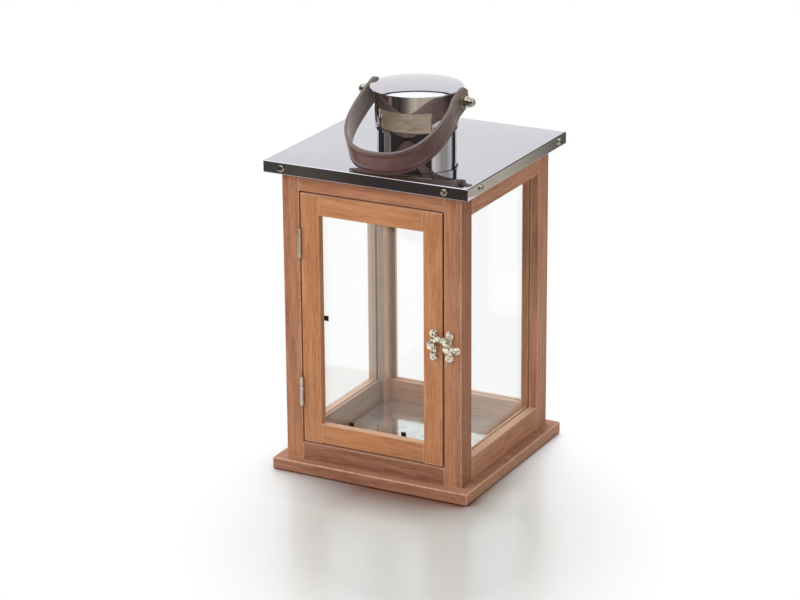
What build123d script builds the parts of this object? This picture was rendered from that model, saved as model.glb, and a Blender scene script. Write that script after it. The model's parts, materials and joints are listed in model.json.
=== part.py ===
from build123d import *

import os
from math import asin, atan2, cos, hypot, radians, sin

# Candle lantern: a glazed wooden case with a hinged door, a folded steel roof with a chimney, and a
# leather carrying strap. Millimetres. The origin is the centre of the base's underside, the door
# faces -Y and +Z is up.

# Base and case frame
base_overhang = 9.2
base_thick = 10.0
base_ease = 1.5
body_side = 161.6
frame_height = 247.0
post_wide = 15.4
post_deep = 18.6
wood_ease = 0.8
front_rail_deep = 15.4
front_rail_low_tall = 14.6
front_rail_high_tall = 15.0
side_rail_thick = 11.3
side_rail_low_tall = 20.2
side_rail_high_tall = 20.4
back_rail_thick = 10.0
back_rail_tall = 18.8
back_lip_wide = 3.8

# Glass
pane_thick = 2.0
pane_bite = 4.0
pane_slack = 0.3
side_pane_inset = 7.4
back_pane_inset = 3.9

# Floor tray and its nails
tray_thick = 0.6
tray_gap = 0.3
nail_in = 11.5
nail_side_in = 8.0
nail_head_r = 1.6
nail_head_tall = 0.6
nail_r = 0.8
nail_long = 7.0

# Screws from below into the posts
base_screw_r = 1.7
base_screw_head_r = 3.4
base_screw_head_tall = 2.5
base_screw_sunk = 0.3
base_screw_bite = 20.0

# Roof
board_thick = 9.2
sheet = 0.8
roof_overhang = 10.7
roof_rim_tall = 9.8
roof_bend = 0.9
roof_hem = 0.4
roof_seam = 0.3
roof_screw_in = 18.5
roof_screw_drop = 4.9
roof_screw_shift = {"front": -2.2, "right": 4.5, "back": 0.0, "left": 0.0}
roof_screw_head_r = 2.9
roof_screw_head_tall = 1.6
roof_screw_round = 1.3
roof_screw_r = 1.4
roof_screw_long = 9.0
screw_slot_wide = 0.8
screw_slot_share = 0.62
screw_slot_deep = 0.9
screw_turn_deg = 25.0

# Chimney
pipe_r = 32.6
pipe_rise = 31.0
pipe_fit = 0.15
foot_wide = 4.0
foot_thick = 0.8
vent_gap = 0.8
cap_rise = 17.0
cap_tall = 32.6
lid_overhang = 3.8
lid_edge = 1.0
lid_dome = 3.2
window_turn_deg = 7.0
window_half_deg = 41.6
window_sill = 2.0
window_tall = 17.0
rivet_off_deg = 46.5
rivet_up = 5.0
rivet_r = 1.1
rivet_head_r = 1.9
rivet_head_tall = 0.9
rivet_seat_gap = 0.1

# Strap studs with spacers, washers and dome nuts
stud_rise = 42.3
stud_r = 2.45
stud_head_r = 4.0
stud_head_thick = 1.5
stud_head_gap = 0.3
spacer_r = 4.2
washer_r = 5.0
washer_thick = 1.0
nut_flats = 8.2
nut_hex_tall = 4.6
nut_tall = 10.4
nut_dome_r = 3.9
nut_thread_deep = 7.0
running_fit = 0.05

# Leather strap
strap_wide = 19.8
strap_thick = 2.6
strap_clear = 0.6
strap_play = 0.1
strap_tail = 11.0
strap_tail_round = 8.5
strap_long = 93.4
strap_straight = 28.0
strap_flat = 7.0
strap_bulge = 1.3
strap_lean = 8.9
strap_square = 2.4
strap_rest_gap = 0.25

# Door
door_thick = 12.0
door_latch_gap = 1.6
door_low_gap = 2.0
door_high_gap = 1.5
stile_wide = 17.0
door_rail_low_tall = 16.8
door_rail_high_tall = 17.4
door_pane_inset = 6.5
door_rabbet = 4.0
stop_wide = 3.5
stop_deep = 5.0
stop_gap = 0.4
clip_wide = 4.2
clip_thick = 0.8
clip_show = 2.6
clip_bite = 3.0
clip_side = 24.0

# Butt hinges
hinge_tall = 24.8
hinge_in = 42.8
hinge_lift = 1.0
leaf_thick = 0.5
leaf_play = 0.1
leaf_deep = 9.0
knuckle_r = 1.5
knuckle_gap = 0.2
knuckle_proud = 0.1
hinge_pin_r = 0.7
hinge_pin_end = 0.5
hinge_screw_r = 0.8
hinge_screw_head_r = 1.4
hinge_screw_long = 7.0
hinge_screw_step = 15.0
hinge_screw_back = 4.5

# Latch
latch_height = 120.4
latch_post_in = 10.2
latch_door_in = 7.4
plate_thick = 1.6
plate_ear_r = 3.8
plate_ear_step = 18.8
plate_waist = 5.0
plate_neck_r = 1.2
plate_round = 0.6
latch_head_round = 0.6
hook_round = 0.5
edge_hair = 0.001
latch_boss_r = 3.8
latch_boss_tall = 2.0
latch_gap = 0.2
hook_thick = 3.0
hook_band = 4.2
hook_eye_r = 3.6
hook_leg_wide = 6.4
hook_leg_drop = 2.2
hook_arm = 9.0
hook_arm_tall = 3.0
knob_r = 3.2
knob_sink = 0.6
peg_r = 1.3
peg_gap = 0.3
peg_head_r = 2.0
peg_head_thick = 1.0
pivot_r = 1.5
pivot_head_r = 2.9
pivot_head_thick = 1.0
latch_screw_r = 1.3
latch_screw_head_r = 2.4
latch_screw_head_tall = 1.1
latch_screw_long = 9.0

# Planes and levels that several pieces share
half_body = body_side / 2
base_half = half_body + base_overhang
roof_half = half_body + roof_overhang
front = -half_body
open_x = half_body - post_wide
open_y = half_body - post_deep
eaves = base_thick + frame_height
roof_top = eaves + board_thick + sheet
sides = {"left": -1, "right": 1}
ends = {"front": -1, "back": 1}
corners = [(sx, sy) for sx in (-1, 1) for sy in (-1, 1)]

# Opening in the front and the door that fills it
sill = base_thick + front_rail_low_tall
lintel = eaves - front_rail_high_tall
hinge_gap = 2 * leaf_thick + leaf_play
door_left = -open_x + hinge_gap
door_right = open_x - door_latch_gap
door_low = sill + door_low_gap
door_high = lintel - door_high_gap
door_back = front + door_thick
glass_left = door_left + stile_wide
glass_right = door_right - stile_wide
glass_low = door_low + door_rail_low_tall
glass_high = door_high - door_rail_high_tall
door_pane_front = front + door_pane_inset
door_pane_back = door_pane_front + pane_thick

# Side and back panes
side_pane_out = half_body - side_pane_inset
side_pane_in = side_pane_out - pane_thick
side_open_low = base_thick + side_rail_low_tall
side_open_high = eaves - side_rail_high_tall
side_pane_low = side_open_low - pane_bite
side_pane_high = side_open_high + pane_bite
back_pane_out = half_body - back_pane_inset
back_pane_in = back_pane_out - pane_thick
back_open_low = base_thick + back_rail_tall
back_open_high = eaves - back_rail_tall

# Tray
tray_x = open_x - tray_gap
tray_front = front + front_rail_deep + tray_gap
tray_back = half_body - back_rail_thick - tray_gap
nail_spots = [(s * (tray_x - nail_side_in), y) for s in (-1, 1)
              for y in (tray_front + nail_in, tray_back - nail_in)]

# Base screws stand in the middle of each post
post_mid_x = half_body - post_wide / 2
post_mid_y = half_body - post_deep / 2
base_screw_spots = [(sx * post_mid_x, sy * post_mid_y) for sx, sy in corners]

# Roof screws: two in each side of the rim
roof_screw_z = roof_top - roof_screw_drop
roof_screw_spots = []
for turn, shift in enumerate(roof_screw_shift.values()):
    out = Vector(0, -1, 0).rotate(Axis.Z, 90 * turn)
    along = Vector(1, 0, 0).rotate(Axis.Z, 90 * turn)
    for step in (-1, 1):
        reach = step * (roof_half - roof_screw_in) + shift
        spot = out * roof_half + along * reach + Vector(0, 0, roof_screw_z)
        roof_screw_spots.append(Plane(origin=spot, z_dir=out))

# Chimney and strap fittings
cap_in_r = pipe_r + vent_gap
cap_r = cap_in_r + sheet
lid_r = cap_r + lid_overhang
cap_low = roof_top + cap_rise
lid_low = cap_low + cap_tall
stud_z = roof_top + stud_rise
rivet_z = cap_low + rivet_up
window_turns = (window_turn_deg, window_turn_deg + 180)
rivet_angles = [turn - 90 + side * rivet_off_deg for turn in window_turns for side in sides.values()]
strap_in = lid_r + strap_clear
strap_belly = strap_in + strap_thick / 2 + strap_bulge
strap_out = strap_in + strap_thick
washer_in = strap_out + strap_play
nut_in = washer_in + washer_thick
stud_end = nut_in + nut_thread_deep
stud_inner = cap_in_r - stud_head_gap

# Strap tilt: the loop hangs forward until its lower edge meets the roof
strap_reach = strap_long + strap_thick / 2
strap_fall = stud_rise - strap_rest_gap
strap_tilt = asin(strap_fall / hypot(strap_reach, strap_wide / 2)) - atan2(strap_wide / 2, strap_reach)

# Hinge and latch axes
hinge_x = -open_x + hinge_gap / 2
hinge_y = front - knuckle_r - knuckle_proud
hinge_levels = {"low": door_low + hinge_in + hinge_lift, "high": door_high - hinge_in + hinge_lift}
hinge_screw_y = front + hinge_screw_back
hinge_screw_steps = (-hinge_screw_step / 2, hinge_screw_step / 2)
hinge_screw_levels = [mid + step for mid in hinge_levels.values() for step in hinge_screw_steps]
latch_z = base_thick + latch_height
latch_post_x = half_body - latch_post_in
latch_door_x = door_right - latch_door_in
hook_mid_x = (latch_post_x + latch_door_x) / 2
hook_arch_r = (latch_post_x - latch_door_x) / 2
boss_out = plate_thick + latch_boss_tall
hook_in = boss_out + latch_gap
hook_out = hook_in + hook_thick
ear_spots = [-plate_ear_step / 2, plate_ear_step / 2]


def block(x, y, z, mode=Mode.ADD):
    """Box between two limits on each axis, in the part being built."""
    with Locations((min(x), min(y), min(z))):
        Box(abs(x[1] - x[0]), abs(y[1] - y[0]), abs(z[1] - z[0]), align=(Align.MIN,) * 3, mode=mode)


def rod(radius, start, direction, length, mode=Mode.ADD):
    """Round bar from a start point along a direction, in the part being built."""
    with Locations(Plane(origin=start, z_dir=direction)):
        Cylinder(radius, length, align=(Align.CENTER, Align.CENTER, Align.MIN), mode=mode)


def cross_slot(face_plane, head_r, turn):
    """Cross recess cut into a screw head's face, in the part being built."""
    long = 2 * head_r * screw_slot_share
    with Locations(face_plane.rotated((0, 0, turn))):
        Box(long, screw_slot_wide, 2 * screw_slot_deep, mode=Mode.SUBTRACT)
        Box(screw_slot_wide, long, 2 * screw_slot_deep, mode=Mode.SUBTRACT)


def cut_windows(low):
    """Front and back windows cut out of a round wall above a height, in the part being built."""
    far_x, far_y = 2 * cap_r * sin(radians(window_half_deg)), 2 * cap_r * cos(radians(window_half_deg))
    for turn in window_turns:
        with BuildSketch(Plane(Location((0, 0, low), (0, 0, turn)))) as wedge:
            with BuildLine():
                Polyline((0, 0), (-far_x, -far_y), (far_x, -far_y), close=True)
            make_face()
        extrude(wedge.sketch, amount=window_tall, mode=Mode.SUBTRACT)


def save(piece, name):
    """Label a finished piece and write its STEP file."""
    piece.part.label = name
    export_step(piece.part, f"parts/{name}.step")


os.makedirs("parts", exist_ok=True)

# Base board, drilled for the nails and the screws
with BuildPart() as base_board:
    block((-base_half, base_half), (-base_half, base_half), (0, base_thick))
    fillet(base_board.edges(), base_ease)
    for x, y in nail_spots:
        rod(nail_r, (x, y, base_thick), (0, 0, -1), nail_long, Mode.SUBTRACT)
    for x, y in base_screw_spots:
        rod(base_screw_head_r, (x, y, 0), (0, 0, 1), base_screw_sunk + base_screw_head_tall, Mode.SUBTRACT)
        rod(base_screw_r, (x, y, 0), (0, 0, 1), base_thick, Mode.SUBTRACT)
save(base_board, "base_board")

with BuildPart() as base_screws:
    for x, y in base_screw_spots:
        rod(base_screw_head_r, (x, y, base_screw_sunk), (0, 0, 1), base_screw_head_tall)
        rod(base_screw_r, (x, y, base_screw_sunk), (0, 0, 1), base_thick + base_screw_bite - base_screw_sunk)
save(base_screws, "base_screws")

# Corner posts, grooved for the side panes; the back pair has a lip behind the back pane
for end, sy in ends.items():
    for side, sx in sides.items():
        with BuildPart() as post:
            block((sx * half_body, sx * open_x), (sy * half_body, sy * open_y), (base_thick, eaves))
            fillet(post.edges().filter_by(Axis.Z), wood_ease)
            if end == "back":
                block((sx * (open_x + wood_ease), sx * (open_x - back_lip_wide)),
                      (half_body - wood_ease, back_pane_out), (back_open_low, back_open_high))
            block((sx * side_pane_in, sx * side_pane_out), (sy * open_y, sy * (open_y + pane_bite)),
                  (side_pane_low, side_pane_high), Mode.SUBTRACT)
            rod(base_screw_r, (sx * post_mid_x, sy * post_mid_y, base_thick), (0, 0, 1), base_screw_bite,
                Mode.SUBTRACT)
            if (end, side) == ("front", "left"):
                for z in hinge_screw_levels:
                    rod(hinge_screw_r, (-open_x, hinge_screw_y, z), (-1, 0, 0), hinge_screw_long,
                        Mode.SUBTRACT)
            if (end, side) == ("front", "right"):
                for step in ear_spots:
                    rod(latch_screw_r, (latch_post_x, front, latch_z + step), (0, 1, 0), latch_screw_long,
                        Mode.SUBTRACT)
        save(post, f"post_{end}_{side}")

# Rails between the posts
front_rails = {"low": (base_thick, sill), "high": (lintel, eaves)}
for level, z in front_rails.items():
    with BuildPart() as front_rail:
        block((-open_x, open_x), (front, front + front_rail_deep), z)
        fillet(front_rail.edges().filter_by(Axis.X), wood_ease)
    save(front_rail, f"front_rail_{level}")

back_rails = {"low": (base_thick, back_open_low), "high": (back_open_high, eaves)}
back_grooves = {"low": (back_open_low - pane_bite, back_open_low),
                "high": (back_open_high, back_open_high + pane_bite)}
for level, z in back_rails.items():
    with BuildPart() as back_rail:
        block((-open_x, open_x), (half_body - back_rail_thick, half_body), z)
        fillet(back_rail.edges().filter_by(Axis.X), wood_ease)
        block((-open_x, open_x), (back_pane_in, back_pane_out), back_grooves[level], Mode.SUBTRACT)
    save(back_rail, f"back_rail_{level}")

side_rails = {"low": (base_thick, side_open_low), "high": (side_open_high, eaves)}
side_grooves = {"low": (side_pane_low, side_open_low), "high": (side_open_high, side_pane_high)}
for side, sx in sides.items():
    for level, z in side_rails.items():
        with BuildPart() as side_rail:
            block((sx * (half_body - side_rail_thick), sx * half_body), (-open_y, open_y), z)
            fillet(side_rail.edges().filter_by(Axis.Y), wood_ease)
            groove_x = (sx * side_pane_in, sx * side_pane_out)
            block(groove_x, (-open_y, open_y), side_grooves[level], Mode.SUBTRACT)
        save(side_rail, f"{side}_rail_{level}")

# Fixed panes, standing on the floors of their grooves
for side, sx in sides.items():
    with BuildPart() as side_pane:
        reach = open_y + pane_bite - pane_slack
        block((sx * side_pane_in, sx * side_pane_out), (-reach, reach),
              (side_pane_low, side_pane_high - pane_slack))
    save(side_pane, f"pane_{side}")

with BuildPart() as pane_back:
    reach = open_x - pane_slack
    block((-reach, reach), (back_pane_in, back_pane_out),
          (back_open_low - pane_bite, back_open_high + pane_bite - pane_slack))
save(pane_back, "pane_back")

# Floor tray and its nails
with BuildPart() as floor_tray:
    block((-tray_x, tray_x), (tray_front, tray_back), (base_thick, base_thick + tray_thick))
    for x, y in nail_spots:
        rod(nail_r, (x, y, base_thick), (0, 0, 1), tray_thick, Mode.SUBTRACT)
save(floor_tray, "floor_tray")

with BuildPart() as tray_nails:
    for x, y in nail_spots:
        rod(nail_head_r, (x, y, base_thick + tray_thick), (0, 0, 1), nail_head_tall)
        rod(nail_r, (x, y, base_thick + tray_thick), (0, 0, -1), tray_thick + nail_long)
save(tray_nails, "tray_nails")

# Stop strip behind the latch side of the door
with BuildPart() as door_stop:
    stop_front = door_back + stop_gap
    block((open_x - stop_wide, open_x), (stop_front, stop_front + stop_deep), (sill, lintel))
save(door_stop, "door_stop")

# Board under the roof sheet, with the chimney's hole and a rebate for its foot
with BuildPart() as top_board:
    board_half = roof_half - sheet
    board_top = eaves + board_thick
    foot_r = pipe_r + foot_wide
    block((-board_half, board_half), (-board_half, board_half), (eaves, eaves + board_thick))
    rod(pipe_r + pipe_fit, (0, 0, eaves), (0, 0, 1), board_thick, Mode.SUBTRACT)
    rod(foot_r + pipe_fit, (0, 0, board_top), (0, 0, -1), foot_thick, Mode.SUBTRACT)
    for seat in roof_screw_spots:
        rod(roof_screw_r, seat.origin, -seat.z_dir, sheet + roof_screw_long, Mode.SUBTRACT)
save(top_board, "top_board")

# Roof: one sheet with its rim folded down on four sides and open seams at the corners
with BuildPart() as roof_cover:
    block((-roof_half, roof_half), (-roof_half, roof_half), (roof_top - roof_rim_tall, roof_top))
    fillet(roof_cover.faces().sort_by(Axis.Z)[-1].edges(), roof_bend)
    fillet(roof_cover.faces().sort_by(Axis.Z)[0].edges(), roof_hem)
    block((-board_half, board_half), (-board_half, board_half), (roof_top - roof_rim_tall, roof_top - sheet),
          Mode.SUBTRACT)
    rod(pipe_r + pipe_fit, (0, 0, roof_top - sheet), (0, 0, 1), sheet, Mode.SUBTRACT)
    for sx, sy in corners:
        foot = (sx * roof_half, sy * roof_half, roof_top - roof_rim_tall)
        with Locations(Location(foot, (0, 0, sx * sy * 45))):
            Box(4 * sheet, roof_seam, 2 * (roof_rim_tall - roof_bend), mode=Mode.SUBTRACT)
    for seat in roof_screw_spots:
        rod(roof_screw_r, seat.origin, -seat.z_dir, sheet, Mode.SUBTRACT)
save(roof_cover, "roof_cover")

with BuildPart() as roof_screws:
    for seat in roof_screw_spots:
        rod(roof_screw_head_r, seat.origin, seat.z_dir, roof_screw_head_tall)
    rims = [edge for edge in roof_screws.edges()
            if max(abs(edge.center().X), abs(edge.center().Y)) > roof_half + roof_screw_head_tall / 2]
    fillet(rims, roof_screw_round)
    for i, seat in enumerate(roof_screw_spots):
        rod(roof_screw_r, seat.origin, -seat.z_dir, sheet + roof_screw_long)
        cross_slot(seat.offset(roof_screw_head_tall), roof_screw_head_r, screw_turn_deg * i)
save(roof_screws, "roof_screws")

# Chimney pipe, held by a foot flange between the board and the roof sheet
with BuildPart() as chimney_pipe:
    with BuildSketch(Plane.XZ) as pipe_wall:
        with BuildLine():
            foot_low = board_top - foot_thick
            pipe_top = roof_top + pipe_rise
            Polyline((pipe_r - sheet, eaves), (pipe_r, eaves), (pipe_r, foot_low), (foot_r, foot_low),
                     (foot_r, board_top), (pipe_r, board_top), (pipe_r, pipe_top),
                     (pipe_r - sheet, pipe_top), close=True)
        make_face()
    revolve(axis=Axis.Z)
    for angle in rivet_angles:
        out = (cos(radians(angle)), sin(radians(angle)), 0)
        rod(rivet_r, (0, 0, rivet_z), out, pipe_r + sheet, Mode.SUBTRACT)
    cut_windows(cap_low + window_sill)
save(chimney_pipe, "chimney_pipe")

# Cap sleeve over the pipe, with a window at the front and the back that lets warm air out
with BuildPart() as chimney_cap:
    rod(cap_r, (0, 0, cap_low), (0, 0, 1), cap_tall)
    rod(cap_in_r, (0, 0, cap_low), (0, 0, 1), cap_tall, Mode.SUBTRACT)
    for angle in rivet_angles:
        out = (cos(radians(angle)), sin(radians(angle)), 0)
        rod(rivet_r, (0, 0, rivet_z), out, cap_r + sheet, Mode.SUBTRACT)
    cut_windows(cap_low + window_sill)
    rod(stud_r + running_fit, (-cap_r - sheet, 0, stud_z), (1, 0, 0), 2 * (cap_r + sheet), Mode.SUBTRACT)
save(chimney_cap, "chimney_cap")

# Spun lid: a shallow dome with a flat seat for the sleeve
with BuildPart() as chimney_lid:
    with BuildSketch(Plane.XZ):
        with BuildLine():
            seat_r = cap_in_r - sheet
            top = lid_low + lid_edge + lid_dome
            Line((seat_r, lid_low), (lid_r, lid_low))
            Line((lid_r, lid_low), (lid_r, lid_low + lid_edge))
            TangentArc((0, top), (lid_r, lid_low + lid_edge), tangent=(1, 0))
            Line((0, top), (0, top - sheet))
            TangentArc((0, top - sheet), (seat_r, lid_low), tangent=(1, 0))
        make_face()
    revolve(axis=Axis.Z)
save(chimney_lid, "chimney_lid")

# Rivets between sleeve and pipe, each with a collar that keeps the vent gap
with BuildPart() as chimney_rivets:
    for angle in rivet_angles:
        out = Vector(cos(radians(angle)), sin(radians(angle)), 0)
        level = Vector(0, 0, rivet_z)
        tail = pipe_r - sheet - rivet_seat_gap
        rod(rivet_head_r, level + out * tail, -out, rivet_head_tall)
        rod(rivet_r, level + out * tail, out, cap_r - tail)
        rod(rivet_head_r, level + out * pipe_r, out, vent_gap - rivet_seat_gap)
        rod(rivet_head_r, level + out * cap_r, out, rivet_head_tall)
save(chimney_rivets, "chimney_rivets")

# Studs through the sleeve, spacers, washers and dome nuts on both sides
with BuildPart() as strap_studs:
    for sx in sides.values():
        rod(stud_head_r, (sx * (stud_inner - stud_head_thick), 0, stud_z), (sx, 0, 0), stud_head_thick)
        rod(stud_r, (sx * stud_inner, 0, stud_z), (sx, 0, 0), stud_end - stud_inner)
save(strap_studs, "strap_studs")

with BuildPart() as strap_spacers:
    for sx in sides.values():
        long = strap_in - strap_play - cap_r
        rod(spacer_r, (sx * cap_r, 0, stud_z), (sx, 0, 0), long)
        rod(stud_r + running_fit, (sx * cap_r, 0, stud_z), (sx, 0, 0), long, Mode.SUBTRACT)
save(strap_spacers, "strap_spacers")

with BuildPart() as strap_washers:
    for sx in sides.values():
        rod(washer_r, (sx * washer_in, 0, stud_z), (sx, 0, 0), washer_thick)
        rod(stud_r + running_fit, (sx * washer_in, 0, stud_z), (sx, 0, 0), washer_thick, Mode.SUBTRACT)
save(strap_washers, "strap_washers")

with BuildPart() as strap_nuts:
    for sx in sides.values():
        seat = Plane(origin=(sx * nut_in, 0, stud_z), z_dir=(sx, 0, 0))
        with BuildSketch(seat):
            RegularPolygon(nut_flats / 2, 6, major_radius=False)
        extrude(amount=nut_hex_tall)
        rod(nut_dome_r, seat.origin, seat.z_dir, nut_tall - nut_dome_r)
        with Locations(seat.offset(nut_tall - nut_dome_r)):
            Sphere(nut_dome_r)
        rod(stud_r, seat.origin, seat.z_dir, nut_thread_deep, Mode.SUBTRACT)
save(strap_nuts, "strap_nuts")


def strap_edge(out):
    """Points of the loop's bend, set out from the strap's middle line by the given distance."""
    points = []
    for angle in range(0, 181, 15):
        across = cos(radians(angle))
        down = sin(radians(angle)) ** (2 / strap_square)
        depth = strap_straight + (strap_long + out - strap_straight) * down
        width = (strap_belly + out) * abs(across) ** (2 / strap_square)
        points.append(((width if across > 0 else -width) + strap_lean * depth / strap_long, depth))
    return points


# Leather strap: a loop drawn in its own plane, as wide as the strap, with rounded tails past the studs
with BuildPart() as handle_strap:
    loop_plane = Plane(origin=(0, 0, stud_z), x_dir=(1, 0, 0),
                       z_dir=(0, sin(strap_tilt), -cos(strap_tilt)))
    with BuildSketch(loop_plane):
        with BuildLine():
            for face_x, out in ((strap_out, strap_thick / 2), (strap_in, -strap_thick / 2)):
                Line((face_x, -strap_tail), (face_x, strap_flat))
                bend = [(face_x, strap_flat), *strap_edge(out), (-face_x, strap_flat)]
                Spline(bend, tangents=[(0, 1), (0, -1)])
                Line((-face_x, strap_flat), (-face_x, -strap_tail))
            for sx in sides.values():
                Line((sx * strap_in, -strap_tail), (sx * strap_out, -strap_tail))
        make_face()
    extrude(amount=strap_wide / 2, both=True)
    fillet(handle_strap.edges().filter_by(Axis.X), strap_tail_round)
    rod(stud_r + running_fit, (-strap_out, 0, stud_z), (1, 0, 0), 2 * strap_out, Mode.SUBTRACT)
save(handle_strap, "handle_strap")

# Door frame: two stiles with the rails between them, rabbeted at the back for the glass
rabbet_x = (glass_left - door_rabbet, glass_right + door_rabbet)
rabbet_z = (glass_low - door_rabbet, glass_high + door_rabbet)
clip_y = (door_pane_back, door_pane_back + clip_thick)
clip_mid_z = (glass_low + glass_high) / 2
clip_mid_x = (glass_left + glass_right) / 2
clip_boxes = {"left": [], "right": [], "low": [], "high": []}
clip_boxes["left"].append(((rabbet_x[0] - clip_bite, glass_left + clip_show),
                           (clip_mid_z - clip_wide / 2, clip_mid_z + clip_wide / 2)))
clip_boxes["right"].append(((glass_right - clip_show, rabbet_x[1] + clip_bite),
                            (clip_mid_z - clip_wide / 2, clip_mid_z + clip_wide / 2)))
for step in (-clip_side, clip_side):
    across = (clip_mid_x + step - clip_wide / 2, clip_mid_x + step + clip_wide / 2)
    clip_boxes["low"].append((across, (rabbet_z[0] - clip_bite, glass_low + clip_show)))
    clip_boxes["high"].append((across, (glass_high - clip_show, rabbet_z[1] + clip_bite)))

stiles = {"left": (door_left, glass_left), "right": (glass_right, door_right)}
for side, x in stiles.items():
    with BuildPart() as door_stile:
        block(x, (front, door_back), (door_low, door_high))
        fillet(door_stile.edges().filter_by(Axis.Z), wood_ease)
        block(rabbet_x, (door_pane_front, door_back), rabbet_z, Mode.SUBTRACT)
        for clip_x, clip_z in clip_boxes[side]:
            block(clip_x, clip_y, clip_z, Mode.SUBTRACT)
        if side == "left":
            for z in hinge_screw_levels:
                rod(hinge_screw_r, (door_left, hinge_screw_y, z), (1, 0, 0), hinge_screw_long, Mode.SUBTRACT)
        else:
            for step in ear_spots:
                rod(latch_screw_r, (latch_door_x, front, latch_z + step), (0, 1, 0), latch_screw_long,
                    Mode.SUBTRACT)
    save(door_stile, f"door_stile_{side}")

door_rails = {"low": (door_low, glass_low), "high": (glass_high, door_high)}
for level, z in door_rails.items():
    with BuildPart() as door_rail:
        block((glass_left, glass_right), (front, door_back), z)
        fillet(door_rail.edges().filter_by(Axis.X), wood_ease)
        block(rabbet_x, (door_pane_front, door_back), rabbet_z, Mode.SUBTRACT)
        for clip_x, clip_z in clip_boxes[level]:
            block(clip_x, clip_y, clip_z, Mode.SUBTRACT)
    save(door_rail, f"door_rail_{level}")

with BuildPart() as door_pane:
    block((rabbet_x[0] + pane_slack, rabbet_x[1] - pane_slack), (door_pane_front, door_pane_back),
          (rabbet_z[0], rabbet_z[1] - pane_slack))
save(door_pane, "door_pane")

# Steel clips pressed into the rabbet's walls, lying on the back of the glass
with BuildPart() as glazing_clips:
    for boxes in clip_boxes.values():
        for clip_x, clip_z in boxes:
            block(clip_x, clip_y, clip_z)
save(glazing_clips, "glazing_clips")

# Butt hinges: each leaf lies flat in the gap between post and door, with its knuckles in front
leaf_front = front + knuckle_proud
leaf_y = (leaf_front, leaf_front + leaf_deep)
knuckle_tall = (hinge_tall - 2 * knuckle_gap) / 3
leaf_sides = {"post": ((-open_x, -open_x + leaf_thick), 1),
              "door": ((door_left - leaf_thick, door_left), -1)}
for owner, (leaf_x, into) in leaf_sides.items():
    for level, mid in hinge_levels.items():
        low = mid - hinge_tall / 2
        starts = [low + i * (knuckle_tall + knuckle_gap) for i in range(3)]
        own = [starts[0], starts[2]] if owner == "post" else [starts[1]]
        with BuildPart() as leaf:
            block(leaf_x, leaf_y, (low, low + hinge_tall))
            for start in own:
                block(leaf_x, (hinge_y, leaf_front), (start, start + knuckle_tall))
                rod(knuckle_r, (hinge_x, hinge_y, start), (0, 0, 1), knuckle_tall)
            rod(hinge_pin_r + running_fit, (hinge_x, hinge_y, low), (0, 0, 1), hinge_tall, Mode.SUBTRACT)
            for step in hinge_screw_steps:
                rod(hinge_screw_head_r, (leaf_x[0], hinge_screw_y, mid + step), (1, 0, 0), leaf_thick,
                    Mode.SUBTRACT)
        save(leaf, f"hinge_{owner}_leaf_{level}")

    with BuildPart() as leaf_screws:
        seat_x = leaf_x[0] if into > 0 else leaf_x[1]
        for z in hinge_screw_levels:
            rod(hinge_screw_head_r, (seat_x, hinge_screw_y, z), (into, 0, 0), leaf_thick)
            rod(hinge_screw_r, (seat_x, hinge_screw_y, z), (-into, 0, 0), hinge_screw_long)
    save(leaf_screws, f"hinge_{owner}_screws")

with BuildPart() as hinge_pins:
    for mid in hinge_levels.values():
        rod(hinge_pin_r, (hinge_x, hinge_y, mid - hinge_tall / 2 - hinge_pin_end), (0, 0, 1),
            hinge_tall + 2 * hinge_pin_end)
save(hinge_pins, "hinge_pins")

# Latch plates on the post and on the door, each with two ears and a boss
face = Plane.XZ.offset(half_body)


def latch_plate(piece, x):
    """Cast plate with an ear above and below its boss, drilled for its screws, in the part being built."""
    block((x - plate_waist / 2, x + plate_waist / 2), (front, front - plate_thick),
          (latch_z + ear_spots[0], latch_z + ear_spots[1]))
    for step in ear_spots:
        rod(plate_ear_r, (x, front, latch_z + step), (0, -1, 0), plate_thick)
    fillet(piece.edges().filter_by(Axis.Y), plate_neck_r)
    fillet(front_edges(piece, plate_thick), plate_round)
    rod(latch_boss_r, (x, front, latch_z), (0, -1, 0), boss_out)
    for step in ear_spots:
        rod(latch_screw_r, (x, front, latch_z + step), (0, -1, 0), plate_thick, Mode.SUBTRACT)


def front_edges(piece, height):
    """Edges of a piece that lie the given height in front of the case."""
    return piece.edges().filter_by_position(Axis.Y, front - height - edge_hair, front - height + edge_hair)


with BuildPart() as latch_post_plate:
    latch_plate(latch_post_plate, latch_post_x)
    rod(pivot_r, (latch_post_x, front, latch_z), (0, -1, 0), boss_out, Mode.SUBTRACT)
save(latch_post_plate, "latch_post_plate")

with BuildPart() as latch_keeper:
    latch_plate(latch_keeper, latch_door_x)
    rod(peg_r, (latch_door_x, front, latch_z), (0, -1, 0), hook_out + peg_gap)
    rod(peg_head_r, (latch_door_x, front - hook_out - peg_gap, latch_z), (0, -1, 0), peg_head_thick)
    fillet(front_edges(latch_keeper, hook_out + peg_gap + peg_head_thick), latch_head_round)
save(latch_keeper, "latch_keeper")

with BuildPart() as latch_pivot:
    rod(pivot_r, (latch_post_x, front, latch_z), (0, -1, 0), hook_out + latch_gap)
    rod(pivot_head_r, (latch_post_x, front - hook_out - latch_gap, latch_z), (0, -1, 0), pivot_head_thick)
    fillet(front_edges(latch_pivot, hook_out + latch_gap + pivot_head_thick), latch_head_round)
save(latch_pivot, "latch_pivot")

for owner, x in {"latch_post_screws": latch_post_x, "latch_keeper_screws": latch_door_x}.items():
    with BuildPart() as latch_screws:
        for i, step in enumerate(ear_spots):
            spot = (x, front - plate_thick, latch_z + step)
            rod(latch_screw_head_r, spot, (0, -1, 0), latch_screw_head_tall)
            rod(latch_screw_r, spot, (0, 1, 0), plate_thick + latch_screw_long)
            head = Plane(origin=spot, z_dir=(0, -1, 0)).offset(latch_screw_head_tall)
            cross_slot(head, latch_screw_head_r, screw_turn_deg * (i + 1))
    save(latch_screws, owner)

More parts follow.
